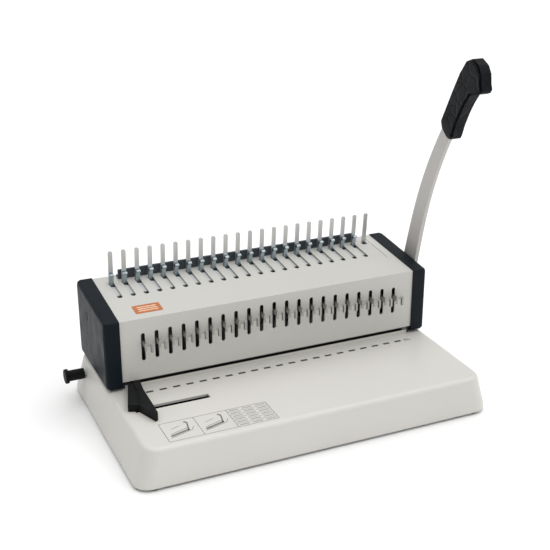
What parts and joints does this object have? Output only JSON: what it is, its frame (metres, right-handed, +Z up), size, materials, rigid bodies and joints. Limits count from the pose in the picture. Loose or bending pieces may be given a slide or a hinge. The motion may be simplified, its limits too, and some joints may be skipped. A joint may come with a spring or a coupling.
{
  "type": "comb binding machine",
  "caption": "Desktop comb binding machine: steel base and sloping housing with dark end caps, comb hooks on top, punch selectors in front and one curved pull lever.",
  "frame": {"origin": "on the table plane under the middle of the base", "axes": "+X to the user's right along the punch line, -Y towards the user, +Z up"},
  "size_m": [0.416, 0.234, 0.3591],
  "materials": {
    "cover_paint": "fine powder coat, satin",
    "base_paint": "fine powder coat, satin",
    "cap_plastic": "fine moulded texture",
    "black_plastic": "moulded",
    "lever_paint": "satin paint",
    "bright_steel": "brushed",
    "hook_steel": "blue zinc plate",
    "tool_steel": "ground",
    "frame_steel": "grey primer",
    "bush_brass": "sintered",
    "foot_rubber": "matt"
  },
  "bodies": {
    "frame": {"base_shell": "base_paint", "bottom_plate": "frame_steel", "rubber_feet": "foot_rubber", "case_screws": "bright_steel", "guide_channel": "black_plastic", "die_plate": "base_paint", "die_spacers": "tool_steel", "guide_plate": "tool_steel", "die_bolts": "bright_steel", "guide_rods": "bright_steel", "return_springs": "bright_steel", "left_side_plate": "frame_steel", "right_side_plate": "frame_steel", "shaft_bushes": "bush_brass", "hook_rails": "tool_steel", "top_cover": "cover_paint", "rear_panel": "cover_paint", "comb_stop": "cap_plastic", "left_end_cap": "cap_plastic", "right_end_cap": "cap_plastic", "comb_tines": "bright_steel"},
    "handle": {"main_shaft": "bright_steel", "punch_pinions": "tool_steel", "hook_pinions": "tool_steel", "lever_arm": "lever_paint", "lever_hub": "bright_steel", "lever_bolt": "bright_steel", "lever_grip": "cap_plastic"},
    "punch": {"punch_bar": "tool_steel", "punch_pins": "tool_steel", "punch_racks": "tool_steel"},
    "hooks": {"hook_carriage": "bright_steel", "comb_hooks": "hook_steel", "hook_racks": "tool_steel"},
    "depth_dial": {"depth_knob": "black_plastic", "depth_shaft": "bright_steel"},
    "depth_plate": {"depth_stop": "bright_steel"},
    "guide": {"edge_guide": "black_plastic"},
    "tray": {"chip_tray": "black_plastic"},
    "selector_01": {"selector_01": "bright_steel"},
    "selector_02": {"selector_02": "bright_steel"},
    "selector_03": {"selector_03": "bright_steel"},
    "selector_04": {"selector_04": "bright_steel"},
    "selector_05": {"selector_05": "bright_steel"},
    "selector_06": {"selector_06": "bright_steel"},
    "selector_07": {"selector_07": "bright_steel"},
    "selector_08": {"selector_08": "bright_steel"},
    "selector_09": {"selector_09": "bright_steel"},
    "selector_10": {"selector_10": "bright_steel"},
    "selector_11": {"selector_11": "bright_steel"},
    "selector_12": {"selector_12": "bright_steel"},
    "selector_13": {"selector_13": "bright_steel"},
    "selector_14": {"selector_14": "bright_steel"},
    "selector_15": {"selector_15": "bright_steel"},
    "selector_16": {"selector_16": "bright_steel"},
    "selector_17": {"selector_17": "bright_steel"},
    "selector_18": {"selector_18": "bright_steel"},
    "selector_19": {"selector_19": "bright_steel"},
    "selector_20": {"selector_20": "bright_steel"},
    "selector_21": {"selector_21": "bright_steel"}
  },
  "joints": [
    {"name": "lever_pull", "type": "hinge", "parent": "frame", "child": "handle", "pos_m": [0, 0.057, 0.072], "axis": [1, 0, 0], "range_deg": [0, 60], "stiffness_Nm_per_rad": 1.5, "springref_deg": -57.3},
    {"name": "punch_stroke", "type": "slide", "parent": "frame", "child": "punch", "axis": [0, 0, -1], "range_m": [0, 0.017], "deforming": ["return_springs"]},
    {"name": "hook_travel", "type": "slide", "parent": "frame", "child": "hooks", "axis": [0, -0.9962, -0.0868], "range_m": [0, 0.02]},
    {"name": "depth_turn", "type": "hinge", "parent": "frame", "child": "depth_dial", "pos_m": [-0.19, 0.084, 0.03], "axis": [1, 0, 0], "range_deg": [0, 180]},
    {"name": "depth_shift", "type": "slide", "parent": "frame", "child": "depth_plate", "axis": [0, -1, 0], "range_m": [0, 0.004]},
    {"name": "guide_slide", "type": "slide", "parent": "frame", "child": "guide", "axis": [1, 0, 0], "range_m": [0, 0.06]},
    {"name": "tray_slide", "type": "slide", "parent": "frame", "child": "tray", "axis": [1, 0, 0], "range_m": [0, 0.3]},
    {"name": "selector_01_pull", "type": "slide", "parent": "punch", "child": "selector_01", "axis": [0, -1, 0], "range_m": [0, 0.005]},
    {"name": "selector_02_pull", "type": "slide", "parent": "punch", "child": "selector_02", "axis": [0, -1, 0], "range_m": [0, 0.005]},
    {"name": "selector_03_pull", "type": "slide", "parent": "punch", "child": "selector_03", "axis": [0, -1, 0], "range_m": [0, 0.005]},
    {"name": "selector_04_pull", "type": "slide", "parent": "punch", "child": "selector_04", "axis": [0, -1, 0], "range_m": [0, 0.005]},
    {"name": "selector_05_pull", "type": "slide", "parent": "punch", "child": "selector_05", "axis": [0, -1, 0], "range_m": [0, 0.005]},
    {"name": "selector_06_pull", "type": "slide", "parent": "punch", "child": "selector_06", "axis": [0, -1, 0], "range_m": [0, 0.005]},
    {"name": "selector_07_pull", "type": "slide", "parent": "punch", "child": "selector_07", "axis": [0, -1, 0], "range_m": [0, 0.005]},
    {"name": "selector_08_pull", "type": "slide", "parent": "punch", "child": "selector_08", "axis": [0, -1, 0], "range_m": [0, 0.005]},
    {"name": "selector_09_pull", "type": "slide", "parent": "punch", "child": "selector_09", "axis": [0, -1, 0], "range_m": [0, 0.005]},
    {"name": "selector_10_pull", "type": "slide", "parent": "punch", "child": "selector_10", "axis": [0, -1, 0], "range_m": [0, 0.005]},
    {"name": "selector_11_pull", "type": "slide", "parent": "punch", "child": "selector_11", "axis": [0, -1, 0], "range_m": [0, 0.005]},
    {"name": "selector_12_pull", "type": "slide", "parent": "punch", "child": "selector_12", "axis": [0, -1, 0], "range_m": [0, 0.005]},
    {"name": "selector_13_pull", "type": "slide", "parent": "punch", "child": "selector_13", "axis": [0, -1, 0], "range_m": [0, 0.005]},
    {"name": "selector_14_pull", "type": "slide", "parent": "punch", "child": "selector_14", "axis": [0, -1, 0], "range_m": [0, 0.005]},
    {"name": "selector_15_pull", "type": "slide", "parent": "punch", "child": "selector_15", "axis": [0, -1, 0], "range_m": [0, 0.005]},
    {"name": "selector_16_pull", "type": "slide", "parent": "punch", "child": "selector_16", "axis": [0, -1, 0], "range_m": [0, 0.005]},
    {"name": "selector_17_pull", "type": "slide", "parent": "punch", "child": "selector_17", "axis": [0, -1, 0], "range_m": [0, 0.005]},
    {"name": "selector_18_pull", "type": "slide", "parent": "punch", "child": "selector_18", "axis": [0, -1, 0], "range_m": [0, 0.005]},
    {"name": "selector_19_pull", "type": "slide", "parent": "punch", "child": "selector_19", "axis": [0, -1, 0], "range_m": [0, 0.005]},
    {"name": "selector_20_pull", "type": "slide", "parent": "punch", "child": "selector_20", "axis": [0, -1, 0], "range_m": [0, 0.005]},
    {"name": "selector_21_pull", "type": "slide", "parent": "punch", "child": "selector_21", "axis": [0, -1, 0], "range_m": [0, 0.005]}
  ],
  "couplings": [
    {"joint": "punch_stroke", "follows": "lever_pull", "m_per_rad": 0.016},
    {"joint": "hook_travel", "follows": "lever_pull", "m_per_rad": 0.019},
    {"joint": "depth_turn", "follows": "depth_shift", "rad_per_m": 785.4}
  ]
}
